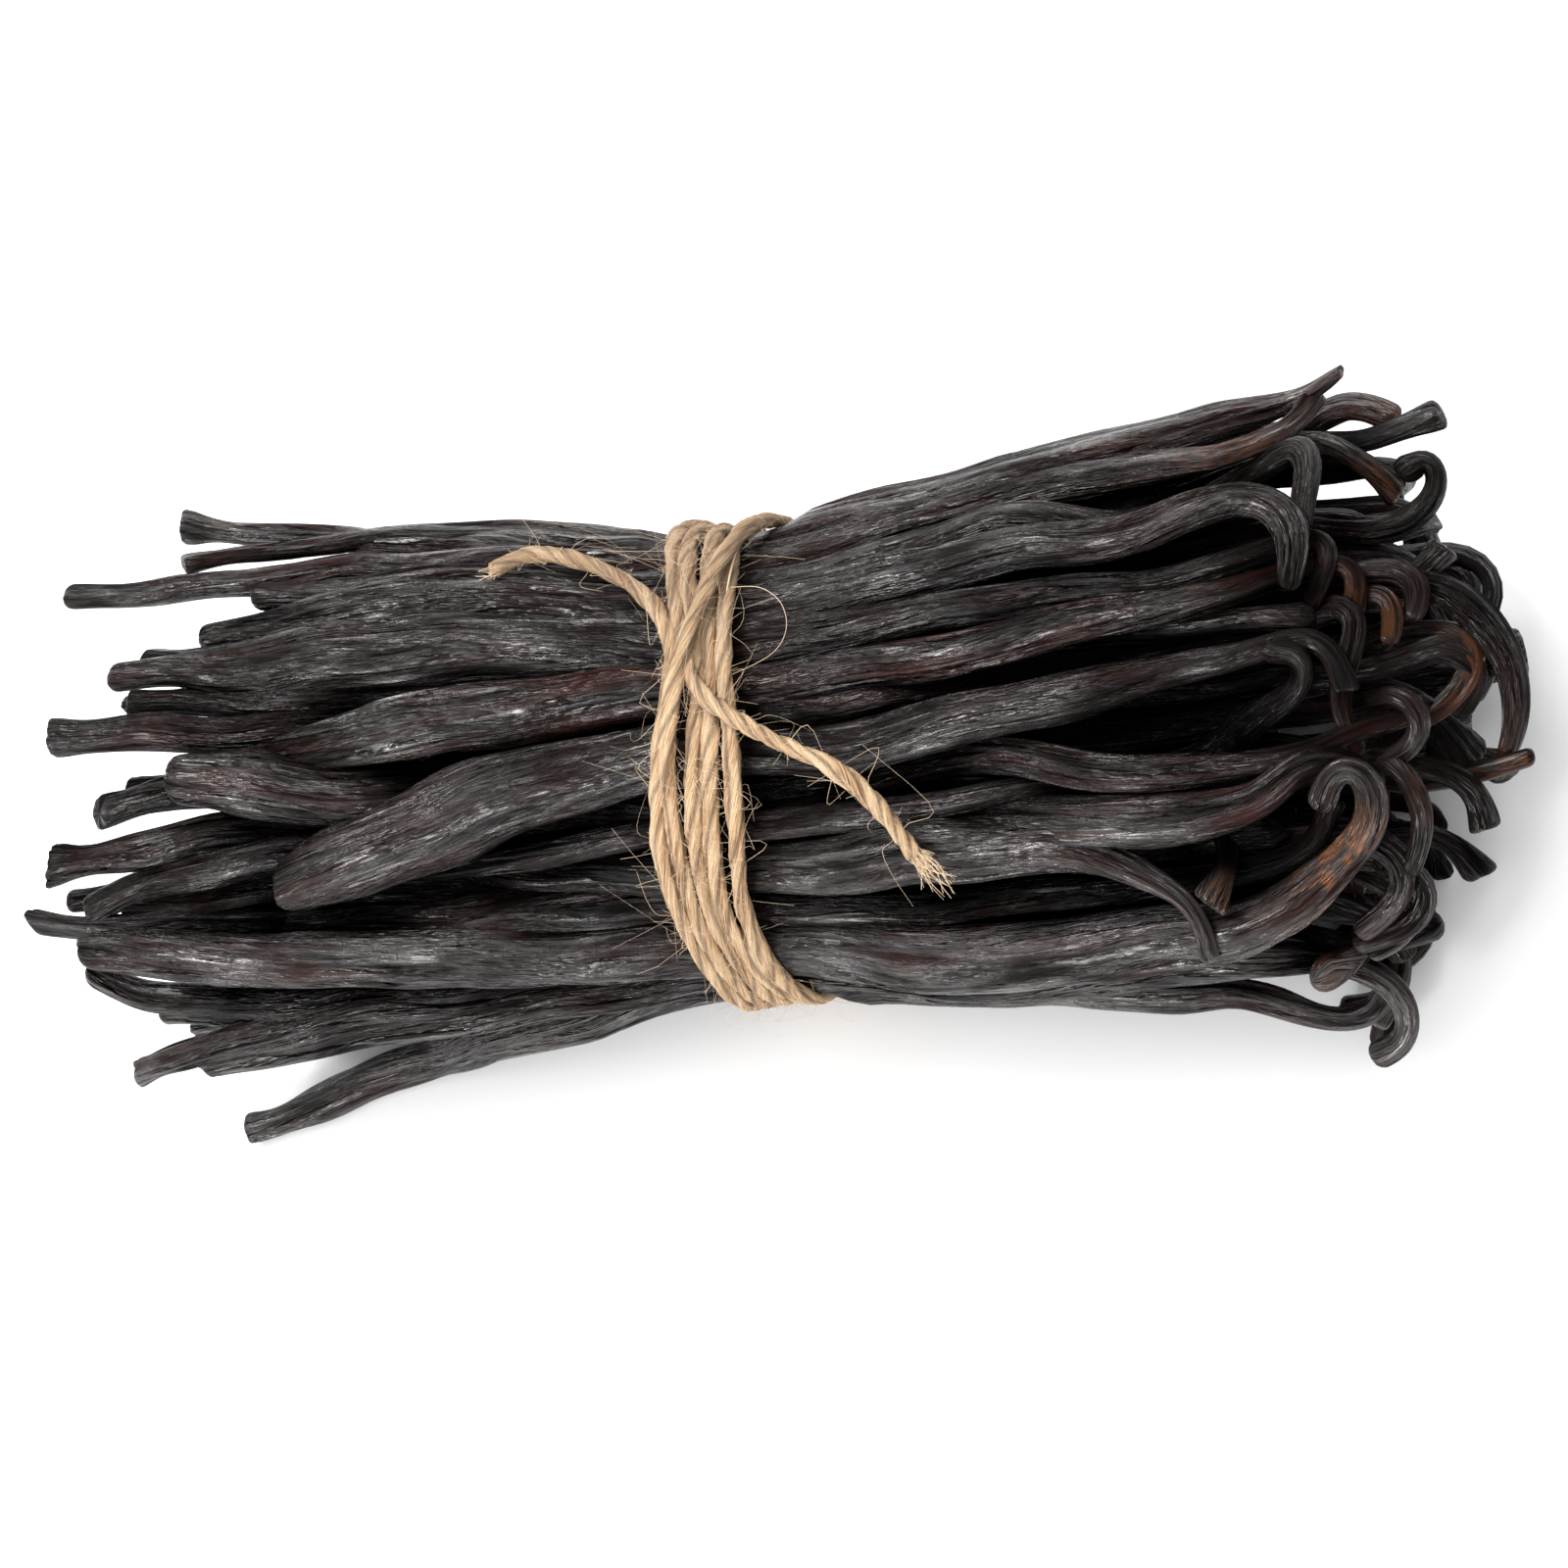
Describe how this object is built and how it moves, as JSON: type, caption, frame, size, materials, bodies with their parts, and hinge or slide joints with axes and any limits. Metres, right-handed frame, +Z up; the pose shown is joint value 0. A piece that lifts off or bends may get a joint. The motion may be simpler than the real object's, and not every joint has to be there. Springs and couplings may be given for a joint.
{
  "type": "bundle of vanilla pods",
  "caption": "Bundle of dark cured vanilla pods with curled stalk ends, lying on its side, tied round the waist with jute twine whose frayed ends lie free on top.",
  "frame": {"origin": "on the surface the bundle lies on, under the middle of its bounding box", "axes": "+X along the bundle towards the curled stalk ends, +Z up, +Y towards the back edge"},
  "size_m": [0.1705, 0.072, 0.052],
  "materials": {
    "pod": "near-black brown cured skin, finely wrinkled lengthwise, with a dull oily sheen",
    "twine": "twisted jute of three plies, tan, matt and hairy"
  },
  "bodies": {
    "root": {"pods": "pod", "twine_winding": "twine", "twine_end_left": "twine", "twine_end_right": "twine"}
  },
  "joints": []
}
